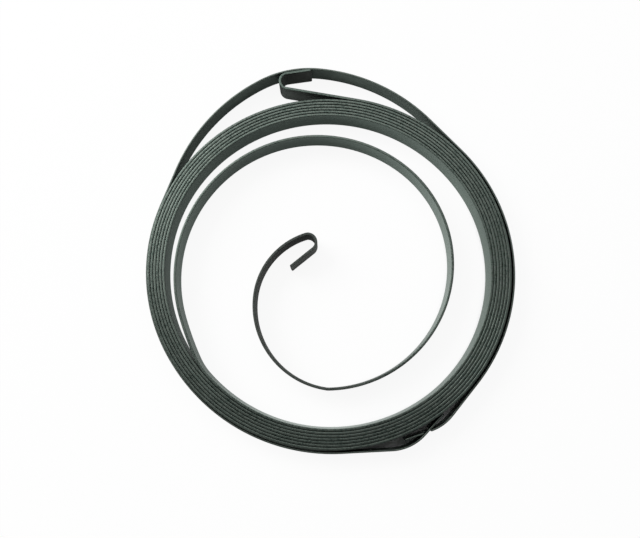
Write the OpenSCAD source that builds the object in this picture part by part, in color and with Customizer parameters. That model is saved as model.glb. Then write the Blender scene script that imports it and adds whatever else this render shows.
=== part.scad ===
// Recoil starter spring: a flat spiral of strip steel, held wound by a retaining band.
// It lies on its edge. Plan view: X to the right, Y away, Z up, origin on the coil's axis.

/* [Spring strip] */
// Thickness of the strip
strip_t = 0.5; // [0.3:0.05:0.7]
// Width of the strip, which is the height of the coil
strip_w = 5.8; // [4:0.1:10]

/* [Close turns] */
// Mean radius of the outermost close turn
coil_r = 34.1; // [32:0.1:38]
// Flat-side radius less end radius: how far the coil is squeezed out of round
oval = 2.2; // [0:0.1:3]
// Direction of the oval's long axis, in degrees
oval_angle = -12; // [-30:1:30]
// Whole close turns
close_turns = 6; // [4:1:7]
// Free space between one close turn and the next
turn_gap = 0.07; // [0.03:0.01:0.12]
// Part of a quarter turn that the last close turn still hugs, in degrees
last_sweep = 81; // [60:1:88]

/* [Free turn] */
// Bend that lifts the strip off the close turns: radius
peel_r = 12; // [9:1:16]
// Bend that lifts the strip off the close turns: angle
peel_sweep = 17; // [12:1:20]
// Slack run after that bend: radius
slack_r = 60; // [50:1:70]
// Slack run after that bend: angle
slack_sweep = 8; // [7:1:9]
// How much tighter than the innermost close turn the first half of the free turn is
free_draw = 3.5; // [3:0.1:5]
// Angle of that half
free_sweep = 144; // [135:1:155]
// How much tighter than the first half the second half is
second_draw = 3; // [2:0.1:4]
// Angle of the second half
second_sweep = 142; // [135:1:155]
// Kink where the strip turns in towards the hub: angle
kink_sweep = 9; // [4:1:14]
// Radius of the run in towards the hub
hub_run_r = 16; // [13:0.5:18]
// Angle of that run
hub_run_sweep = 87; // [80:1:98]
// Radius of the last curve before the inner hook
hub_end_r = 14; // [11:0.5:16]
// Angle of that curve
hub_end_sweep = 67; // [58:1:76]

/* [Inner hook] */
// Inside width of the hook that takes the pulley hub's lug
inner_hook_d = 2.7; // [2:0.1:3.4]
// Angle that the hook is bent through
inner_hook_sweep = 159; // [140:1:170]
// Length of the hook's straight tail
inner_tail = 5.5; // [3:0.5:7]

/* [Outer hook] */
// Angle of the outermost turn before its straight leg leaves the coil
lead_sweep = 47; // [44:1:52]
// Length of the straight leg
leg = 14.1; // [11:0.1:16]
// Inside width of the hook that goes over the housing's post
outer_hook_d = 2.6; // [2:0.1:3.6]
// Angle that the hook is bent through
outer_hook_sweep = 162; // [155:1:175]
// Length of the hook's straight tail
outer_tail = 4.9; // [3:0.1:7]

/* [Retaining band] */
// Thickness of the band
band_t = 0.3; // [0.2:0.05:0.4]
// Width of the band
band_w = 5.1; // [3:0.1:5.5]
// Clearance between the band and the strip that it holds
band_clearance = 0.1; // [0.05:0.01:0.2]
// Extra slack on the side between the lock and the arch
band_slack = 0.4; // [0:0.05:0.6]
// How far the band sags off the coil on its way to the lock
band_sag = 0.4; // [0.1:0.05:0.6]
// Radius of the arch's crest, over the outer hook
crest_r = 20.5; // [18:0.5:24]
// Angle of the crest
crest_sweep = 33; // [25:1:40]
// Radius of the arch's flanks
flank_r = 35; // [31:0.5:39]
// How far the crest leans from the hook's bend towards its tail, in degrees
arch_lean = 1; // [0:0.5:4]

/* [Band lock] */
// Direction of the place where the band's two slit ends cross, in degrees
lock_angle = -59; // [-70:1:-50]
// Height of the crossing over the coil
lock_lift = 1.4; // [1.3:0.05:1.8]
// Angle of each end to the coil at the crossing, in degrees
lock_cross = 14; // [12:1:15]
// How far the pull of the band has turned the lock, in degrees
lock_tilt = 2; // [0:0.5:3]
// Radius of the bend before each end
lock_r = 9; // [6:0.5:12]
// Length of each end past the crossing
lock_tail = 4.5; // [2.5:0.1:5]
// Free space beside each end in the other's slit
slit_gap = 0.05; // [0.03:0.01:0.1]

/* [Hidden] */

steel_grey = [0.42, 0.46, 0.44];
band_grey = [0.27, 0.29, 0.28];

QUARTER = 90;
// Greatest distance of a bend's chords from its arc
chord_error = 0.02;
// Least chords in a bend
least_chords = 2;

pitch = strip_t + turn_gap;
quarter_step = pitch / 4;
quarters = 4 * close_turns + 1;
end_r = coil_r - oval / 2;
flat_r = coil_r + oval / 2;
kink_r = 5 * strip_t;

// The plan is worked out with the close turns' joints on the axes, and is then turned as a whole
plan_turn = oval_angle + QUARTER / 2;

function along(angle) = [cos(angle), sin(angle)];
function across(a, b) = a[0] * b[1] - a[1] * b[0];
function bearing(v) = atan2(v[1], v[0]);

// A strip's centre line is a chain of runs. A bend is [radius, sweep], positive to the left, and a
// straight is [0, length]. A place is [point, heading].
function is_bend(run) = run[0] > 0;
function side(run) = run[1] > 0 ? 1 : -1;
function bend_centre(place, run) = place[0] + run[0] * along(place[1] + QUARTER * side(run));
function after(place, run) =
    is_bend(run)
    ? [bend_centre(place, run) + run[0] * along(place[1] + run[1] - QUARTER * side(run)), place[1] + run[1]]
    : [place[0] + run[1] * along(place[1]), place[1]];
function places(start, runs, n = 0) =
    n == len(runs) ? [start] : concat([start], places(after(start, runs[n]), runs, n + 1));

// Points along a chain, moved sideways to the left of travel
function chords(run) =
    is_bend(run) ? max(least_chords, ceil(abs(run[1]) / (2 * acos(1 - chord_error / run[0])))) : 1;
function part_of(run, share) = is_bend(run) ? [run[0], run[1] * share] : [0, run[1] * share];
function beside(place, shift) = place[0] + shift * along(place[1] + QUARTER);
function line_beside(stations, runs, shift) = concat(
    [beside(stations[0], shift)],
    [
        for (i = [0 : len(runs) - 1], k = [1 : chords(runs[i])])
        beside(after(stations[i], part_of(runs[i], k / chords(runs[i]))), shift)
    ]
);
function reversed(list) = [for (i = [len(list) - 1 : -1 : 0]) list[i]];
function backwards(runs) = reversed([for (run = runs) is_bend(run) ? [run[0], -run[1]] : run]);
function turned_back(place) = [place[0], place[1] + 180];
function strip_outline(start, runs, t) =
    let (stations = places(start, runs))
    concat(line_beside(stations, runs, t / 2), reversed(line_beside(stations, runs, -t / 2)));

// Close turns: quarter arcs, alternately of the oval's ends and flats, each a little tighter
function close_r(i) = (i % 2 == 0 ? end_r : flat_r) - i * quarter_step;
close_runs = [for (i = [0 : quarters - 1]) [close_r(i), -QUARTER]];
coil_start = [[end_r + oval / 2, -oval / 2], -QUARTER];
close_places = places(coil_start, close_runs);
function close_centre(i) = bend_centre(close_places[i], close_runs[i]);

// Last of the close turns, free turn and inner hook
inner_turn_r = coil_r - quarters * quarter_step;
inner_hook_r = (inner_hook_d + strip_t) / 2;
free_runs = [
    [close_r(quarters), -last_sweep],
    [peel_r, -peel_sweep],
    [slack_r, -slack_sweep],
    [inner_turn_r - free_draw, -free_sweep],
    [inner_turn_r - free_draw - second_draw, -second_sweep],
    [kink_r, -kink_sweep],
    [hub_run_r, -hub_run_sweep],
    [hub_end_r, -hub_end_sweep],
    [inner_hook_r, -inner_hook_sweep],
    [0, inner_tail]
];

// Outermost lead, leg and outer hook, followed outwards from the start of the close turns
outer_hook_r = (outer_hook_d + strip_t) / 2;
outer_runs = [
    [close_r(-1), lead_sweep],
    [0, leg],
    [outer_hook_r, -outer_hook_sweep],
    [0, outer_tail]
];
outer_places = places(turned_back(coil_start), outer_runs);
hook_centre = bend_centre(outer_places[2], outer_runs[2]);
hook_tip = outer_places[4][0];

// The whole strip, from the tip of the outer hook to the tip of the inner one
spring_start = turned_back(outer_places[4]);
spring_runs = concat(backwards(outer_runs), close_runs, free_runs);

// The band is a belt round circles [centre, radius]: coil side, arch, far side, flat side and lock
band_stand = strip_t / 2 + band_clearance + band_t / 2;
function close_circle(i, slack) = [close_centre(i), close_r(i) + band_stand + slack];
lock_side = close_circle(0, band_slack);
far_side = close_circle(2, 0);
flat_side = [close_centre(1) - [0, band_sag], close_r(1) + band_stand];

arch_way = along(bearing(hook_centre) - arch_lean);
// Least offset of the crest's centre at which the band clears a round thing of that radius
function arch_offset(point, radius) =
    point * arch_way - sqrt((crest_r - radius) ^ 2 - across(point, arch_way) ^ 2);
crest_centre = arch_way
    * max(arch_offset(hook_centre, outer_hook_r + band_stand), arch_offset(hook_tip, band_stand));
crest_in = bearing(arch_way) + QUARTER - crest_sweep / 2;
crest_out = crest_in + crest_sweep;
// The flank circle that the crest's circle touches at a heading
function flank(heading) = [crest_centre - (flank_r - crest_r) * along(heading - QUARTER), flank_r];
up_flank = flank(crest_in);
down_flank = flank(crest_out);

// The band's two ends cross over the coil's flat, each with a slit of half its width for the other
lock_at = lock_angle - plan_turn;
lock_way = along(lock_at);
flat_reach = close_centre(1) * lock_way + sqrt(close_r(1) ^ 2 - across(close_centre(1), lock_way) ^ 2);
crossing = lock_way * (flat_reach + strip_t / 2 + lock_lift);
first_heading = lock_at + QUARTER + lock_tilt - lock_cross;
last_heading = lock_at + QUARTER + lock_tilt + lock_cross;
slit = band_t / 2 / tan(lock_cross) + slit_gap / sin(2 * lock_cross);
function lock_bend(place, heading) = [place + lock_r * along(heading + QUARTER), lock_r];
first_bend = lock_bend(crossing + slit * along(first_heading), first_heading);
last_bend = lock_bend(crossing - slit * along(last_heading), last_heading);

// Heading of the tangent from one circle to the next, both on the left of travel
function tangent(a, b) = bearing(b[0] - a[0]) - asin((b[1] - a[1]) / norm(b[0] - a[0]));
function tangent_length(a, b) = sqrt(norm(b[0] - a[0]) ^ 2 - (b[1] - a[1]) ^ 2);
function turn(from, to) = (to - from + 720) % 360;
function arc(circle, from, to) = [circle[1], turn(from, to)];

// Headings on the way round: out of the lock, up to the arch, down from it, under the coil, into the lock
lock_out = tangent(first_bend, lock_side);
arch_up = tangent(lock_side, up_flank);
arch_down = tangent(down_flank, far_side);
under = tangent(far_side, flat_side);
lock_in = tangent(flat_side, last_bend);

// From the tip of one end, past its slit, round the coil and past the other slit to the other tip
past_slit = [0, lock_tail - slit];
through_slit = [0, 2 * slit];
band_start = [crossing - lock_tail * along(first_heading), first_heading];
band_runs = [
    past_slit,
    through_slit,
    arc(first_bend, first_heading, lock_out),
    [0, tangent_length(first_bend, lock_side)],
    arc(lock_side, lock_out, arch_up),
    [0, tangent_length(lock_side, up_flank)],
    arc(up_flank, arch_up, crest_in),
    [crest_r, crest_sweep],
    arc(down_flank, crest_out, arch_down),
    [0, tangent_length(down_flank, far_side)],
    arc(far_side, arch_down, under),
    [0, tangent_length(far_side, flat_side)],
    arc(flat_side, under, lock_in),
    [0, tangent_length(flat_side, last_bend)],
    arc(last_bend, lock_in, last_heading),
    through_slit,
    past_slit
];
band_places = places(band_start, band_runs);
band_end = len(band_runs);

// A length of strip standing on its edge, along a chain of runs
module standing_strip(start, runs, t, w) {
    linear_extrude(w)
        polygon(strip_outline(start, runs, t));
}

// Half of the band's width, between two places on its way
module band_half(first, last) {
    standing_strip(band_places[first], [for (i = [first : last - 1]) band_runs[i]], band_t, band_w / 2);
}

module spring() {
    color(steel_grey)
        rotate(plan_turn)
            standing_strip(spring_start, spring_runs, strip_t, strip_w);
}

module retaining_band() {
    color(band_grey)
        rotate(plan_turn)
            union() {
                band_half(0, band_end - 2);
                band_half(band_end - 1, band_end);
                translate([0, 0, band_w / 2]) {
                    band_half(0, 1);
                    band_half(2, band_end);
                }
            }
}

spring();
retaining_band();
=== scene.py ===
"""Recoil starter spring: the wound strip with two hooks, its retaining band and a plain stage."""

import math
from typing import NamedTuple

import bmesh
import bpy
from mathutils import Matrix, Vector
from mathutils.kdtree import KDTree


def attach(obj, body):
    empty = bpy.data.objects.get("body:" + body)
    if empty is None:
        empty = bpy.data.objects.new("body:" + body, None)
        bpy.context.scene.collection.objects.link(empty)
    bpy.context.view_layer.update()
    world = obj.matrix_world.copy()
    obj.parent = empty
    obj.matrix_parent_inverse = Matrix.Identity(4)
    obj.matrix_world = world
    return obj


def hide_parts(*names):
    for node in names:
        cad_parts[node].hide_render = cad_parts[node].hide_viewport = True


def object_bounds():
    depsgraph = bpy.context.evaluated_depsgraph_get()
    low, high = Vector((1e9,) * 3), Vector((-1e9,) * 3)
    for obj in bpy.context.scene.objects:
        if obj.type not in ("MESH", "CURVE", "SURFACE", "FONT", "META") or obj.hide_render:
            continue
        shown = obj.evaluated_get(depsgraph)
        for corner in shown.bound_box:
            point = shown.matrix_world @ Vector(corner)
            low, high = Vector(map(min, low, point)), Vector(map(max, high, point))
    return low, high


bl_info = {
    "name": "Recoil Starter Spring",
    "version": (1, 0, 0),
    "blender": (4, 5, 0),
    "location": "View3D > Sidebar > Starter Spring",
    "description": "Models a flat spiral starter spring, its retaining band and a plain stage",
    "category": "Add Mesh",
}

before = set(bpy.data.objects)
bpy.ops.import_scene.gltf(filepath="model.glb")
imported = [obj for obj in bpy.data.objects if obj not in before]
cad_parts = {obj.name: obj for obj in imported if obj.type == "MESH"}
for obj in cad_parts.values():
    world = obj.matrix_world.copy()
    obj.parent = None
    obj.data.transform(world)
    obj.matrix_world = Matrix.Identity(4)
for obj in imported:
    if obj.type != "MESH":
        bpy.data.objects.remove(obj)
CAD_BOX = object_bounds()

MM = 0.001
QUARTER = math.pi / 2
# Name of the attribute that holds each point's distance along its strip
ALONG = "along"


def length(name, description, millimetres):
    """A size in the sidebar, given in millimetres and kept in metres."""
    return bpy.props.FloatProperty(
        name=name,
        description=description,
        default=millimetres * MM,
        precision=5,
        subtype="DISTANCE",
        unit="LENGTH",
    )


def angle(name, description, degrees):
    """An angle in the sidebar, given in degrees and kept in radians."""
    return bpy.props.FloatProperty(
        name=name,
        description=description,
        default=math.radians(degrees),
        subtype="ANGLE",
        unit="ROTATION",
    )


def colour(name, description, red, green, blue):
    """A colour in the sidebar."""
    return bpy.props.FloatVectorProperty(
        name=name,
        description=description,
        default=(red, green, blue),
        min=0,
        max=1,
        subtype="COLOR",
    )


def share(name, description, value):
    """A number from nothing to all."""
    return bpy.props.FloatProperty(
        name=name, description=description, default=value, min=0, max=1, subtype="FACTOR"
    )


class SpringSizes(bpy.types.PropertyGroup):
    """Sizes of the spring's strip, its turns and its two hooks."""

    strip_t: length("Strip thickness", "Thickness of the strip", 0.5)
    strip_w: length("Strip width", "Width of the strip, which is the height of the coil", 5.8)
    edge_r: length("Edge rounding", "Rounding of the strip's slit edges", 0.08)
    corner_r: length("End corners", "Rounding of the corners at the strip's two ends", 0.3)
    coil_r: length("Coil radius", "Mean radius of the outermost close turn", 34.1)
    oval: length("Oval", "Flat-side radius less end radius of the close turns", 2.2)
    oval_angle: angle("Oval direction", "Direction of the oval's long axis", -12)
    close_turns: bpy.props.IntProperty(
        name="Close turns", description="Whole close turns", default=6, min=4, max=7
    )
    turn_gap: length("Turn gap", "Free space between one close turn and the next", 0.07)
    last_sweep: angle("Last close bend", "What the last close turn still hugs", 81)
    peel_r: length("Peel radius", "Bend that lifts the strip off the close turns", 12)
    peel_sweep: angle("Peel angle", "Angle of that bend", 17)
    slack_r: length("Slack radius", "Slack run after that bend", 60)
    slack_sweep: angle("Slack angle", "Angle of the slack run", 8)
    free_draw: length("First draw", "How much tighter the free turn's first half is", 3.5)
    free_sweep: angle("First half", "Angle of the free turn's first half", 144)
    second_draw: length("Second draw", "How much tighter the second half is again", 3)
    second_sweep: angle("Second half", "Angle of the free turn's second half", 142)
    kink_sweep: angle("Kink", "Kink where the strip turns in towards the hub", 9)
    hub_run_r: length("Hub run radius", "Radius of the run in towards the hub", 16)
    hub_run_sweep: angle("Hub run angle", "Angle of that run", 87)
    hub_end_r: length("Hub end radius", "Radius of the last curve before the inner hook", 14)
    hub_end_sweep: angle("Hub end angle", "Angle of that curve", 67)
    inner_hook_d: length("Inner hook", "Inside width of the inner hook", 2.7)
    inner_hook_sweep: angle("Inner hook angle", "Angle of the inner hook's bend", 159)
    inner_tail: length("Inner tail", "Length of the inner hook's tail", 5.5)
    lead_sweep: angle("Lead", "Angle of the outermost turn before its leg", 47)
    leg: length("Leg", "Length of the straight leg to the outer hook", 14.1)
    outer_hook_d: length("Outer hook", "Inside width of the outer hook", 2.6)
    outer_hook_sweep: angle("Outer hook angle", "Angle of the outer hook's bend", 162)
    outer_tail: length("Outer tail", "Length of the outer hook's tail", 4.9)


class BandSizes(bpy.types.PropertyGroup):
    """Sizes of the retaining band and of the lock of its two slit ends."""

    band_t: length("Band thickness", "Thickness of the band", 0.3)
    band_w: length("Band width", "Width of the band", 5.1)
    edge_r: length("Edge rounding", "Rounding of the band's slit edges", 0.05)
    corner_r: length("End corners", "Rounding of the corners at the band's two ends", 0.3)
    clearance: length("Clearance", "Clearance between the band and the spring", 0.1)
    slack: length("Slack", "Extra slack between the lock and the arch", 0.4)
    sag: length("Sag", "How far the band sags off the coil on its way to the lock", 0.4)
    crest_r: length("Crest radius", "Radius of the arch's crest, over the outer hook", 20.5)
    crest_sweep: angle("Crest angle", "Angle of the crest", 33)
    flank_r: length("Flank radius", "Radius of the arch's flanks", 35)
    arch_lean: angle("Arch lean", "How far the arch leans towards the hook's tail", 1)
    lock_angle: angle("Lock direction", "Direction of the place where the two ends cross", -59)
    lock_lift: length("Lock lift", "Height of the crossing over the coil", 1.4)
    lock_cross: angle("Lock crossing", "Angle of each end to the coil at the crossing", 14)
    lock_tilt: angle("Lock tilt", "How far the pull of the band has turned the lock", 2)
    lock_r: length("Lock radius", "Radius of the bend before each end", 9)
    lock_tail: length("Lock tail", "Length of each end past the crossing", 4.5)
    slit_gap: length("Slit gap", "Free space beside each end in the other's slit", 0.05)


class Finishes(bpy.types.PropertyGroup):
    """Colours of the blued steel."""

    blued: colour("Blued steel", "Dark of the spring's faces", 0.034, 0.048, 0.041)
    polished: colour("Polished steel", "Light of the spring's faces", 0.098, 0.128, 0.112)
    slit_edge: colour("Slit edge", "The strip's slit edges", 0.102, 0.122, 0.107)
    # The temper colour also serves as painted shade along the hub run, through the inner end's long
    # reach
    temper: colour("Temper tint", "Tint of the softened hook ends", 0.018, 0.014, 0.014)
    band_dark: colour("Band dark", "Dark of the band", 0.022, 0.029, 0.025)
    band_light: colour("Band light", "Light of the band", 0.09, 0.114, 0.1)
    floor: colour("Floor", "Colour of the floor", 0.9, 0.9, 0.9)


class StageSettings(bpy.types.PropertyGroup):
    """Camera, floor and the room's even light."""

    camera_x: length("Camera X", "Place of the camera", -0.5)
    camera_y: length("Camera Y", "Place of the camera", -20.08)
    camera_z: length("Camera Z", "Place of the camera", 157.67)
    tilt: angle("Tilt", "Turn of the camera about X", 7.492)
    roll: angle("Roll", "Turn of the camera about Y", 0.423)
    lens: bpy.props.FloatProperty(
        name="Lens", description="Focal length in millimetres", default=45.34, unit="CAMERA"
    )
    floor_size: length("Floor", "Side of the floor", 3000)
    floor_glow: share("Floor glow", "Share of the floor that is plain white to the eye", 0.92)
    floor_mirror: share(
        "Floor mirrored", "Share of the floor that is plain white in the steel", 0.15
    )
    # Reach of the painted shade in the floor's narrow gaps
    nook: length("Nook", "How near to the steel a gap is before its floor is dark", 5)
    sky: share("Sky", "Strength of the room's even light", 0.15)


class Run(NamedTuple):
    """A stretch of strip: a bend of a radius and an angle, or a straight with no radius."""

    radius: float
    amount: float


class Place(NamedTuple):
    """A point of the plan and the heading of the strip there."""

    point: Vector
    heading: float


class Circle(NamedTuple):
    """A circle that the band is laid round."""

    centre: Vector
    radius: float


def ahead(heading):
    return Vector((math.cos(heading), math.sin(heading)))


def across(a, b):
    return a.x * b.y - a.y * b.x


def bearing(v):
    return math.atan2(v.y, v.x)


def bend_centre(place, run):
    return place.point + run.radius * ahead(place.heading + math.copysign(QUARTER, run.amount))


def after(place, run, part=1):
    """The place at the end of a run, or part of the way along it."""
    amount = run.amount * part
    if not run.radius:
        return Place(place.point + amount * ahead(place.heading), place.heading)
    inward = math.copysign(QUARTER, run.amount)
    point = bend_centre(place, run) + run.radius * ahead(place.heading + amount - inward)
    return Place(point, place.heading + amount)


def walk(start, runs):
    """The places at the start and at the end of every run."""
    places = [start]
    for run in runs:
        places.append(after(places[-1], run))
    return places


def turned_back(place):
    return Place(place.point, place.heading + math.pi)


def backwards(runs):
    return [Run(run.radius, -run.amount if run.radius else run.amount) for run in reversed(runs)]


# Radius of the kink at the hub run, in strip thicknesses
KINK_BEND = 5


class Coil:
    """The plan of the spring: its close turns, free turn and hooks as one chain of runs."""

    def __init__(self, s):
        self.strip_t = s.strip_t
        self.quarter_step = (s.strip_t + s.turn_gap) / 4
        self.end_r = s.coil_r - s.oval / 2
        self.flat_r = s.coil_r + s.oval / 2
        self.plan_turn = s.oval_angle + QUARTER / 2
        quarters = 4 * s.close_turns + 1
        start = Vector((s.coil_r, -s.oval / 2))
        start.rotate(Matrix.Rotation(self.plan_turn, 2))
        coil_start = Place(start, self.plan_turn - QUARTER)
        self.close_runs = [Run(self.close_r(i), -QUARTER) for i in range(quarters)]
        self.close_places = walk(coil_start, self.close_runs)

        outer_hook_r = (s.outer_hook_d + s.strip_t) / 2
        outward = [
            Run(self.close_r(-1), s.lead_sweep),
            Run(0, s.leg),
            Run(outer_hook_r, -s.outer_hook_sweep),
            Run(0, s.outer_tail),
        ]
        outer_places = walk(turned_back(coil_start), outward)
        self.hook = Circle(bend_centre(outer_places[2], outward[2]), outer_hook_r)
        self.hook_tip = outer_places[-1].point

        free_r = s.coil_r - quarters * self.quarter_step - s.free_draw
        inward = [
            Run(self.close_r(quarters), -s.last_sweep),
            Run(s.peel_r, -s.peel_sweep),
            Run(s.slack_r, -s.slack_sweep),
            Run(free_r, -s.free_sweep),
            Run(free_r - s.second_draw, -s.second_sweep),
            Run(KINK_BEND * s.strip_t, -s.kink_sweep),
            Run(s.hub_run_r, -s.hub_run_sweep),
            Run(s.hub_end_r, -s.hub_end_sweep),
            Run((s.inner_hook_d + s.strip_t) / 2, -s.inner_hook_sweep),
            Run(0, s.inner_tail),
        ]
        self.start = turned_back(outer_places[-1])
        self.runs = backwards(outward) + self.close_runs + inward

    def close_r(self, i):
        return (self.flat_r if i % 2 else self.end_r) - i * self.quarter_step

    def close_circle(self, i, stand):
        centre = bend_centre(self.close_places[i], self.close_runs[i])
        return Circle(centre, self.close_r(i) + stand)


def tangent(a, b):
    """Heading of the tangent from one circle to the next, both on the left of travel."""
    apart = b.centre - a.centre
    return bearing(apart) - math.asin((b.radius - a.radius) / apart.length)


def tangent_run(a, b):
    return Run(0, math.sqrt((b.centre - a.centre).length_squared - (b.radius - a.radius) ** 2))


def arc(circle, from_heading, to_heading):
    return Run(circle.radius, (to_heading - from_heading) % math.tau)


def reach(circle, way):
    """How far a circle reaches from the coil's axis in a direction."""
    return circle.centre.dot(way) + math.sqrt(circle.radius**2 - across(circle.centre, way) ** 2)


def bend_at(point, heading, radius):
    """The circle of a bend to the left that leaves a point at a heading."""
    return Circle(point + radius * ahead(heading + QUARTER), radius)


def crest_offset(point, room, way):
    """Least offset of the crest's centre at which a point lies no further from it than the room."""
    return point.dot(way) - math.sqrt(room**2 - across(point, way) ** 2)


def flank(crest_centre, flank_r, crest_r, heading):
    """The flank's circle that touches the crest's at a heading."""
    return Circle(crest_centre - (flank_r - crest_r) * ahead(heading - QUARTER), flank_r)


class Slit(NamedTuple):
    """A cut across half of the band's width, where the other end passes."""

    crossing: Vector
    heading: float
    reach: float
    upper: bool


class Belt:
    """The plan of the band, from the tip of one end, round the coil, to the tip of the other."""

    def __init__(self, s, coil):
        stand = coil.strip_t / 2 + s.clearance + s.band_t / 2
        lock_side = coil.close_circle(0, stand + s.slack)
        far_side = coil.close_circle(2, stand)
        flat = coil.close_circle(1, stand)
        flat_side = Circle(flat.centre + s.sag * ahead(coil.plan_turn - QUARTER), flat.radius)

        arch_way = ahead(bearing(coil.hook.centre) - s.arch_lean)
        crest_in = bearing(arch_way) + QUARTER - s.crest_sweep / 2
        crest_out = crest_in + s.crest_sweep
        crest_centre = arch_way * max(
            crest_offset(coil.hook.centre, s.crest_r - coil.hook.radius - stand, arch_way),
            crest_offset(coil.hook_tip, s.crest_r - stand, arch_way),
        )
        up_flank = flank(crest_centre, s.flank_r, s.crest_r, crest_in)
        down_flank = flank(crest_centre, s.flank_r, s.crest_r, crest_out)

        lock_way = ahead(s.lock_angle)
        outer_turn = coil.close_circle(1, coil.strip_t / 2)
        crossing = lock_way * (reach(outer_turn, lock_way) + s.lock_lift)
        first_heading = s.lock_angle + QUARTER + s.lock_tilt - s.lock_cross
        last_heading = s.lock_angle + QUARTER + s.lock_tilt + s.lock_cross
        slit = s.band_t / 2 / math.tan(s.lock_cross) + s.slit_gap / math.sin(2 * s.lock_cross)
        first_bend = bend_at(crossing + slit * ahead(first_heading), first_heading, s.lock_r)
        last_bend = bend_at(crossing - slit * ahead(last_heading), last_heading, s.lock_r)

        lock_out = tangent(first_bend, lock_side)
        arch_up = tangent(lock_side, up_flank)
        arch_down = tangent(down_flank, far_side)
        under = tangent(far_side, flat_side)
        lock_in = tangent(flat_side, last_bend)
        past_slit = Run(0, s.lock_tail - slit)
        through_slit = Run(0, 2 * slit)
        self.start = Place(crossing - s.lock_tail * ahead(first_heading), first_heading)
        self.runs = [
            past_slit,
            through_slit,
            arc(first_bend, first_heading, lock_out),
            tangent_run(first_bend, lock_side),
            arc(lock_side, lock_out, arch_up),
            tangent_run(lock_side, up_flank),
            arc(up_flank, arch_up, crest_in),
            Run(s.crest_r, s.crest_sweep),
            arc(down_flank, crest_out, arch_down),
            tangent_run(down_flank, far_side),
            arc(far_side, arch_down, under),
            tangent_run(far_side, flat_side),
            arc(flat_side, under, lock_in),
            tangent_run(flat_side, last_bend),
            arc(last_bend, lock_in, last_heading),
            through_slit,
            past_slit,
        ]
        self.slits = (
            Slit(crossing, first_heading, slit, True),
            Slit(crossing, last_heading, slit, False),
        )


# Greatest distance of a bend's chords from its arc
CHORD_ERROR = 0.004 * MM
# Spacing of the points at which a strip's length is measured
MEASURE_STEP = 0.1 * MM
# Share of a strip's thickness that counts as no distance
TINY = 0.01
# Share of a strip's thickness within which points are welded
WELD = 0.001
# Segments across the rounded end corners and slit edges
CORNER_SEGMENTS = 4
EDGE_SEGMENTS = 3
# Least angle of an edge that is rounded, and greatest angle that is shaded smooth
ROUNDED_ANGLE = math.radians(50)
SMOOTH_ANGLE = math.radians(40)


def bend_steps(run):
    step = 2 * math.acos(1 - CHORD_ERROR / run.radius)
    return max(2, math.ceil(abs(run.amount) / step))


def stand_section(start, thickness, width):
    """A plane across the strip's first end, standing on the floor."""
    bpy.ops.object.select_all(action="DESELECT")
    bpy.ops.mesh.primitive_plane_add(
        size=1,
        location=(*start.point, width / 2),
        rotation=(QUARTER, 0, start.heading + QUARTER),
    )
    strip = bpy.context.object
    strip.scale = (thickness, width, 1)
    bpy.ops.object.transform_apply(location=True, rotation=True, scale=True)
    return strip


def draw_along(start, runs):
    """The selected end is spun round each bend and pulled along each straight."""
    place = start
    for run in runs:
        if run.radius:
            bpy.ops.mesh.spin(
                steps=bend_steps(run),
                angle=-run.amount,
                center=(*bend_centre(place, run), 0),
                axis=(0, 0, 1),
            )
        else:
            pull = run.amount * ahead(place.heading)
            bpy.ops.mesh.extrude_region_move(TRANSFORM_OT_translate={"value": (*pull, 0)})
        place = after(place, run)
    return place


def select_end_corners(strip, ends, thickness):
    """Selects the two short level edges across each end of a strip."""
    bpy.ops.mesh.select_all(action="DESELECT")
    bpy.ops.mesh.select_mode(type="EDGE")
    tiny = thickness * TINY
    mesh = bmesh.from_edit_mesh(strip.data)
    for edge in mesh.edges:
        a, b = (vert.co for vert in edge.verts)
        middle = (a + b) / 2
        level = abs(a.z - b.z) < tiny
        short = abs((a - b).length - thickness) < tiny
        at_end = min((middle.xy - end.point).length for end in ends) < tiny
        edge.select_set(level and short and at_end)
    bmesh.update_edit_mesh(strip.data)


def cut_slit(strip, slit, thickness, width):
    """Cuts one half of a strip's width away along a slit, and closes the cut."""
    tiny = thickness * TINY
    middle = width / 2
    way = ahead(slit.heading)

    def spot(vert):
        """Distance of a point along the slit and its height into the half that is cut."""
        height = vert.co.z - middle if slit.upper else middle - vert.co.z
        return (vert.co.xy - slit.crossing).dot(way), height

    def is_cut(vert):
        along, height = spot(vert)
        beside = abs(across(way, vert.co.xy - slit.crossing))
        return height > -tiny and abs(along) < slit.reach + tiny and beside < thickness / 2 + tiny

    bpy.ops.mesh.select_mode(type="FACE")
    bpy.ops.mesh.select_all(action="DESELECT")
    mesh = bmesh.from_edit_mesh(strip.data)
    for face in mesh.faces:
        face.select_set(all(is_cut(vert) for vert in face.verts))
    bmesh.update_edit_mesh(strip.data)
    bpy.ops.mesh.delete(type="FACE")

    bpy.ops.mesh.select_mode(type="VERT")
    for wall in (
        lambda along, height: along < 0,
        lambda along, height: along > 0,
        lambda along, height: height < tiny,
    ):
        bpy.ops.mesh.select_all(action="DESELECT")
        mesh = bmesh.from_edit_mesh(strip.data)
        for vert in mesh.verts:
            vert.select_set(is_cut(vert) and wall(*spot(vert)))
        mesh.select_flush_mode()
        bmesh.update_edit_mesh(strip.data)
        bpy.ops.mesh.edge_face_add()


def measure_along(strip, start, runs):
    """Gives each point of a strip its distance along the strip."""
    marks = []
    place = start
    gone = 0
    for run in runs:
        run_length = abs(run.amount) * (run.radius or 1)
        steps = math.ceil(run_length / MEASURE_STEP)
        for step in range(steps):
            part = step / steps
            marks.append((after(place, run, part).point, gone + part * run_length))
        gone += run_length
        place = after(place, run)
    tree = KDTree(len(marks))
    for index, (point, _) in enumerate(marks):
        tree.insert(point.to_3d(), index)
    tree.balance()
    along = strip.data.attributes.new(ALONG, "FLOAT", "POINT")
    for vert in strip.data.vertices:
        _, index, _ = tree.find((vert.co.x, vert.co.y, 0))
        along.data[vert.index].value = marks[index][1]
    return gone


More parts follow.
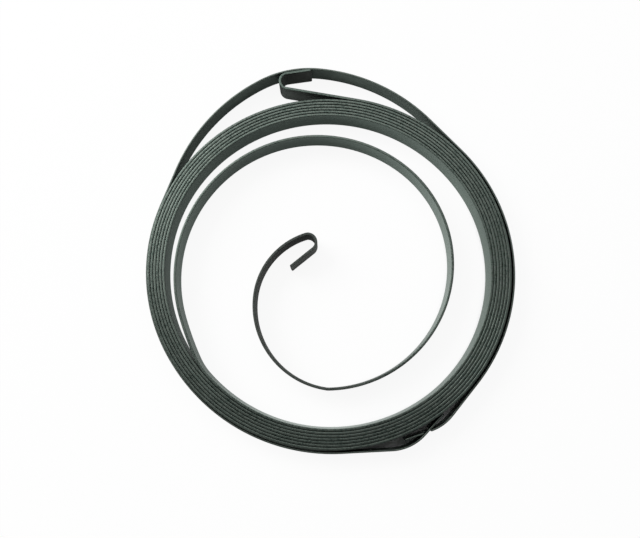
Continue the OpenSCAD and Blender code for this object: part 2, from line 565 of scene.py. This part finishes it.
def make_strip(name, start, runs, thickness, width, edge_r, corner_r, slits=()):
    """Models one strip on its edge along a chain of runs, and returns it with its length."""
    strip = stand_section(start, thickness, width)
    strip.name = name
    strip.data.name = name
    bpy.ops.object.mode_set(mode="EDIT")
    bpy.ops.mesh.select_mode(type="FACE")
    bpy.ops.mesh.select_all(action="SELECT")
    end = draw_along(start, runs)
    bpy.ops.mesh.select_all(action="SELECT")
    bpy.ops.mesh.remove_doubles(threshold=thickness * WELD)
    bpy.ops.mesh.normals_make_consistent(inside=False)
    select_end_corners(strip, (start, end), thickness)
    bpy.ops.mesh.bevel(offset=corner_r, segments=CORNER_SEGMENTS, affect="EDGES")
    if slits:
        bpy.ops.mesh.select_all(action="SELECT")
        bpy.ops.mesh.bisect(plane_co=(0, 0, width / 2), plane_no=(0, 0, 1))
    for slit in slits:
        cut_slit(strip, slit, thickness, width)
    bpy.ops.mesh.select_all(action="SELECT")
    bpy.ops.mesh.normals_make_consistent(inside=False)
    bpy.ops.object.mode_set(mode="OBJECT")

    rounding = strip.modifiers.new("Slit edges", "BEVEL")
    rounding.width = edge_r
    rounding.segments = EDGE_SEGMENTS
    rounding.limit_method = "ANGLE"
    rounding.angle_limit = ROUNDED_ANGLE
    bpy.ops.object.modifier_apply(modifier=rounding.name)
    bpy.ops.object.shade_smooth_by_angle(angle=SMOOTH_ANGLE)
    shading = strip.modifiers.new("Flat faces", "WEIGHTED_NORMAL")
    shading.keep_sharp = True
    bpy.ops.object.modifier_apply(modifier=shading.name)
    return strip, measure_along(strip, start, runs)


# Strength and depth of the steel's grain
GRAIN_STRENGTH = 0.4
GRAIN_DEPTH = 0.02 * MM
# Distance from the spring's outer and inner ends at which the temper tint is full, and is gone;
# from the inner end it reaches on along the hub run as painted shade
OUTER_TEMPER = (12 * MM, 24 * MM)
INNER_TEMPER_AND_SHADE = (50 * MM, 85 * MM)
# Distance from a slit edge at which its bare metal is gone, and is full
SPRING_EDGE = (0.12 * MM, 0.03 * MM)
BAND_EDGE = (0.08 * MM, 0.02 * MM)
# Heading away from the window, and distance that way at which the painted shade in the floor's
# narrow gaps begins, and is full
OFF_WINDOW = Vector((0.85, -0.53))
PAINTED_GAP_SHADE = (12 * MM, 22 * MM)
# Open share of the surroundings at which a gap's floor is painted dark as shade, and is left white
GAP_OPENING = (0.38, 0.5)


class Value:
    """A shader socket that takes part in Python arithmetic."""

    def __init__(self, finish, socket):
        self.finish = finish
        self.socket = socket

    def math(self, operation, *values):
        inputs = dict(enumerate(values))
        return self.finish.add("ShaderNodeMath", {"operation": operation}, inputs)

    def __add__(self, other):
        return self.math("ADD", self, other)

    __radd__ = __add__

    def __sub__(self, other):
        return self.math("SUBTRACT", self, other)

    def __rsub__(self, other):
        return self.math("SUBTRACT", other, self)

    def __mul__(self, other):
        return self.math("MULTIPLY", self, other)

    __rmul__ = __mul__

    def __abs__(self):
        return self.math("ABSOLUTE", self)

    def larger(self, other):
        return self.math("MAXIMUM", self, other)


class Finish:
    """The nodes of a material or of the world, under construction."""

    def __init__(self, block):
        block.use_nodes = True
        self.block = block
        self.tree = block.node_tree
        self.tree.nodes.clear()

    def add(self, kind, settings=None, inputs=None, output=0):
        """Adds a node with its settings, links or fills its inputs, and returns one output."""
        node = self.tree.nodes.new(kind)
        for key, setting in (settings or {}).items():
            setattr(node, key, setting)
        for key, value in (inputs or {}).items():
            if isinstance(value, Value):
                self.tree.links.new(value.socket, node.inputs[key])
            else:
                node.inputs[key].default_value = value
        return Value(self, node.outputs[output]) if node.outputs else None

    def place(self):
        """Object coordinates as three values."""
        spot = self.add("ShaderNodeTexCoord", output="Object")
        return [self.add("ShaderNodeSeparateXYZ", None, {0: spot}, axis) for axis in "XYZ"]

    def along(self):
        return self.add("ShaderNodeAttribute", {"attribute_name": ALONG}, output="Fac")

    def vector(self, x, y, z):
        return self.add("ShaderNodeCombineXYZ", None, {"X": x, "Y": y, "Z": z})

    def noise(self, where, scale, detail=2.0, roughness=0.5):
        inputs = {"Vector": where, "Scale": scale, "Detail": detail, "Roughness": roughness}
        return self.add("ShaderNodeTexNoise", None, inputs)

    def ramp(self, value, low, high, bottom=0.0, top=1.0):
        """Goes smoothly from bottom to top while value goes from low to high."""
        settings = {"interpolation_type": "SMOOTHSTEP", "clamp": True}
        inputs = {"Value": value, 1: low, 2: high, 3: bottom, 4: top}
        return self.add("ShaderNodeMapRange", settings, inputs)

    def slit_edge(self, z, width, gone, full):
        """One at a strip's two slit edges, and nothing on its faces."""
        return self.ramp(abs(z - width / 2), width / 2 - gone, width / 2 - full)

    def blend(self, amount, a, b):
        """Mixes two colours."""
        settings = {"data_type": "RGBA"}
        colours = {}
        for key, mixed in ((6, a), (7, b)):
            colours[key] = mixed if isinstance(mixed, Value) else (*mixed, 1)
        return self.add("ShaderNodeMix", settings, {0: amount, **colours}, 2)

    def steel(self, base, roughness, bump, metallic):
        """Ends the material in one metal shader."""
        grain = {"Height": bump, "Strength": GRAIN_STRENGTH, "Distance": GRAIN_DEPTH}
        inputs = {
            "Base Color": base,
            "Roughness": roughness,
            "Metallic": metallic,
            "Specular Tint": (0.9, 1, 0.94, 1),
            "Normal": self.add("ShaderNodeBump", None, grain),
        }
        return self.finished(self.add("ShaderNodeBsdfPrincipled", None, inputs))

    def looked_at(self, seen, mirrored):
        """The share of plain white that the eye and the steel meet."""
        eye = self.add("ShaderNodeLightPath", output="Is Camera Ray")
        steel = self.add("ShaderNodeLightPath", output="Is Glossy Ray")
        glass = self.add("ShaderNodeLightPath", output="Is Transmission Ray")
        return (eye * seen).larger(steel * mirrored).larger(glass * seen)

    def finished(self, surface, output="ShaderNodeOutputMaterial"):
        self.add(output, None, {"Surface": surface})
        return self.block


def spring_finish(colours, width, total):
    """Blued spring steel, drawn bright along its length, with bare slit edges, tempered ends, and
    painted shade along the hub run.
    """
    f = Finish(bpy.data.materials.new("Blued spring steel"))
    x, y, z = f.place()
    along = f.along()
    streaks = f.noise(f.vector(along * 60, z * 3500, 0), 1, 3, 0.6)
    patches = f.noise(f.vector(along * 40, z * 60, 0), 1, 2)
    fine = f.noise(f.vector(x * 3000, y * 3000, z * 3000), 1, 2)
    light = f.ramp(streaks * 0.4 + patches * 0.3 + fine * 0.3, 0.36, 0.64)
    face = f.blend(light, colours.blued, colours.polished)

    edge = f.slit_edge(z, width, *SPRING_EDGE)
    to_start = f.ramp(along, *OUTER_TEMPER, 1, 0)
    # Near the inner end this tint is temper at the hook and painted shade along the hub run
    to_end_tint_and_shade = f.ramp(total - along, *INNER_TEMPER_AND_SHADE, 1, 0)
    scale = to_start.larger(to_end_tint_and_shade) * (0.6 + patches * 0.5) * (1 - edge * (1 - to_end_tint_and_shade * 0.8))
    tempered = f.blend(scale, face, colours.temper)
    untempered = 1 - to_start * 0.6 - to_end_tint_and_shade * 0.7
    bare = edge * f.ramp(fine, 0.3, 0.6) * (0.3 + patches * 1.2) * untempered
    base = f.blend(bare, tempered, colours.slit_edge)
    roughness = 0.16 + streaks * 0.1 + fine * 0.08 + edge * 0.14 + scale * 0.3
    return f.steel(base, roughness, streaks * 0.7 + fine * 0.3, 0.9 - scale * 0.5)


def band_finish(colours, width):
    """Darker blued strapping with scuffed edges."""
    f = Finish(bpy.data.materials.new("Blued strapping"))
    _, _, z = f.place()
    along = f.along()
    streaks = f.noise(f.vector(along * 80, z * 2500, 0), 1, 3, 0.6)
    patches = f.noise(f.vector(along * 70, z * 120, 3), 1, 3)
    fine = f.noise(f.vector(along * 1200, z * 1200, 0), 1, 2)
    light = f.ramp(streaks * 0.5 + patches * 0.5, 0.38, 0.66)
    face = f.blend(light, colours.band_dark, colours.band_light)
    edge = f.slit_edge(z, width, *BAND_EDGE)
    base = f.blend(edge * (0.4 + fine * 0.6), face, colours.slit_edge)
    roughness = 0.28 + streaks * 0.15 + fine * 0.1
    return f.steel(base, roughness, streaks * 0.6 + fine * 0.4, 0.85)


def floor_finish(colours, glow, mirror, nook):
    """A pale floor, white to the eye, with a soft shadow, and narrow gaps away from the window
    painted dark as shade.
    """
    f = Finish(bpy.data.materials.new("Pale floor"))
    opening = f.add("ShaderNodeAmbientOcclusion", {"samples": 16}, {"Distance": nook}, "AO")
    x, y, _ = f.place()
    # Painted shade: the white glow is taken off the floor in narrow gaps on the side away from the
    # window
    by_window = f.ramp(x * OFF_WINDOW.x + y * OFF_WINDOW.y, *PAINTED_GAP_SHADE, 1, 0)
    free_of_painted_shade = f.ramp(opening, *GAP_OPENING).larger(by_window)
    matt = f.add("ShaderNodeBsdfDiffuse", None, {"Color": (*colours.floor, 1)})
    white = f.add("ShaderNodeEmission", None, {"Strength": 1.0})
    share_of_white = f.looked_at(glow, mirror) * free_of_painted_shade
    return f.finished(f.add("ShaderNodeMixShader", None, {0: share_of_white, 1: matt, 2: white}))


def room_light(sky, mirror):
    """Even light from all round, white to the eye."""
    f = Finish(bpy.data.worlds.new("Room"))
    strength = f.looked_at(1, mirror).larger(sky)
    background = f.add("ShaderNodeBackground", None, {"Color": (1, 1, 1, 1), "Strength": strength})
    return f.finished(background, "ShaderNodeOutputWorld")


class STARTER_OT_spring(bpy.types.Operator):
    """Model the wound spring strip with its hooks"""

    bl_idname = "starter.spring"
    bl_label = "Spring"

    def execute(self, context):
        s = context.scene.starter_spring
        coil = Coil(s)
        strip, total = make_strip(
            "spring_strip", coil.start, coil.runs, s.strip_t, s.strip_w, s.edge_r, s.corner_r
        )
        strip.data.materials.append(spring_finish(context.scene.starter_finishes, s.strip_w, total))
        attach(strip, "root")
        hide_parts("spring")
        return {"FINISHED"}


class STARTER_OT_band(bpy.types.Operator):
    """Model the retaining band with its two slit ends"""

    bl_idname = "starter.band"
    bl_label = "Retaining band"

    def execute(self, context):
        s = context.scene.starter_band
        belt = Belt(s, Coil(context.scene.starter_spring))
        strip, _ = make_strip(
            "band_strip",
            belt.start,
            belt.runs,
            s.band_t,
            s.band_w,
            s.edge_r,
            s.corner_r,
            belt.slits,
        )
        strip.data.materials.append(band_finish(context.scene.starter_finishes, s.band_w))
        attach(strip, "root")
        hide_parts("retaining_band")
        return {"FINISHED"}


class Lamp(NamedTuple):
    """An area lamp aimed at the coil: its place and sides in metres, and its power in watts."""

    name: str
    place: tuple
    sides: tuple
    watts: float


LAMPS = (
    Lamp("Window", (-0.52, 0.33, 0.5), (0.5, 0.5), 6.0),
    Lamp("Ceiling", (-0.03, 0.34, 0.7), (1.0, 0.35), 2.5),
)


class STARTER_OT_stage(bpy.types.Operator):
    """Set the camera, the floor and the soft light"""

    bl_idname = "starter.stage"
    bl_label = "Stage"

    def execute(self, context):
        s = context.scene.starter_stage
        self.set_camera(context, s)
        self.lay_floor(context, s)
        self.light_room(context, s)
        context.scene.view_settings.view_transform = "Standard"
        return {"FINISHED"}

    def set_camera(self, context, s):
        bpy.ops.object.camera_add(
            location=(s.camera_x, s.camera_y, s.camera_z), rotation=(s.tilt, s.roll, 0)
        )
        camera = context.object
        camera.data.sensor_fit = "HORIZONTAL"
        camera.data.sensor_width = 36
        camera.data.lens = s.lens
        camera.data.clip_start = 0.001
        context.scene.camera = camera

    def lay_floor(self, context, s):
        bpy.ops.object.select_all(action="DESELECT")
        bpy.ops.mesh.primitive_plane_add(size=s.floor_size, location=(0, 0, CAD_BOX[0].z))
        floor = context.object
        floor.name = "floor"
        bpy.ops.object.transform_apply(location=True)
        floor.data.materials.append(
            floor_finish(context.scene.starter_finishes, s.floor_glow, s.floor_mirror, s.nook)
        )

    def light_room(self, context, s):
        context.scene.world = room_light(s.sky, s.floor_mirror)
        for lamp in LAMPS:
            bpy.ops.object.light_add(type="AREA", location=lamp.place)
            light = context.object
            light.name = lamp.name
            light.data.shape = "RECTANGLE"
            light.data.size, light.data.size_y = lamp.sides
            light.data.energy = lamp.watts
            light.rotation_euler = (-Vector(lamp.place)).to_track_quat("-Z", "Y").to_euler()


class STARTER_PT_panel(bpy.types.Panel):
    """Lists the pieces of the starter spring"""

    bl_idname = "STARTER_PT_panel"
    bl_label = "Starter Spring"
    bl_space_type = "VIEW_3D"
    bl_region_type = "UI"
    bl_category = "Starter Spring"

    def draw(self, context):
        for operator, settings in STEPS:
            self.layout.operator(operator.bl_idname)
            for key in getattr(context.scene, settings).__annotations__:
                self.layout.prop(getattr(context.scene, settings), key)


STEPS = (
    (STARTER_OT_spring, "starter_spring"),
    (STARTER_OT_band, "starter_band"),
    (STARTER_OT_stage, "starter_stage"),
)
SETTINGS = {
    "starter_spring": SpringSizes,
    "starter_band": BandSizes,
    "starter_finishes": Finishes,
    "starter_stage": StageSettings,
}
CLASSES = (*SETTINGS.values(), *(operator for operator, _ in STEPS), STARTER_PT_panel)


def register():
    for cls in CLASSES:
        bpy.utils.register_class(cls)
    for key, group in SETTINGS.items():
        setattr(bpy.types.Scene, key, bpy.props.PointerProperty(type=group))


def unregister():
    for key in SETTINGS:
        delattr(bpy.types.Scene, key)
    for cls in reversed(CLASSES):
        bpy.utils.unregister_class(cls)


def main():
    register()
    bpy.ops.starter.spring()
    bpy.ops.starter.band()
    bpy.ops.starter.stage()


if __name__ == "__main__":
    main()
